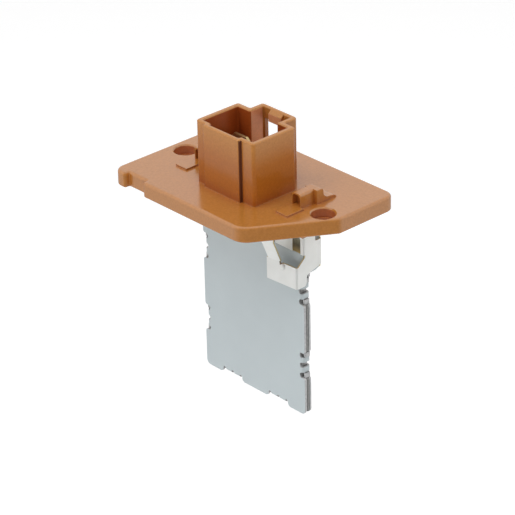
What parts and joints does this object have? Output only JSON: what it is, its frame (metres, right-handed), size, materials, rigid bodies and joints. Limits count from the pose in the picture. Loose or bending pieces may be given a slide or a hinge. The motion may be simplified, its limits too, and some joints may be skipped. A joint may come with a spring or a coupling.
{
  "type": "blower motor resistor",
  "caption": "Resistor card for a blower's speed steps, hung from a moulded flange with a latched plug socket, screw ears and a folded thermal fuse clip.",
  "frame": {"origin": "midway between the two screw holes, on the underside of the flange, the face that seats on the air duct", "axes": "+Z points out of the plug socket and away from the duct, X runs along the card's width and the line of the screw holes, the card's front with the fuse clip faces -Y"},
  "size_m": [0.064, 0.0424, 0.0804],
  "materials": {
    "housing_plastic": "orange-brown glass-filled plastic, semi-matte",
    "terminal_brass": "pale rolled brass",
    "rivet_brass": "pressed brass",
    "cover_steel": "blue-grey coated steel sheet, matte",
    "mica_sheet": "pressed mica board",
    "resistor_alloy": "etched resistance foil",
    "tinned_brass": "tin-plated brass strip, satin",
    "solder": "dull low-melting solder under a flux film"
  },
  "bodies": {
    "root": {"housing": "housing_plastic", "terminal_front_left": "terminal_brass", "terminal_front_right": "terminal_brass", "terminal_rear_left": "terminal_brass", "terminal_rear_right": "terminal_brass", "rivet_front_left": "rivet_brass", "rivet_front_right": "rivet_brass", "rivet_rear_left": "rivet_brass", "rivet_rear_right": "rivet_brass", "front_cover": "cover_steel", "rear_cover": "cover_steel", "front_mica": "mica_sheet", "rear_mica": "mica_sheet", "resistor_foil": "resistor_alloy", "fuse_clip": "tinned_brass", "fuse_solder": "solder"}
  },
  "joints": []
}
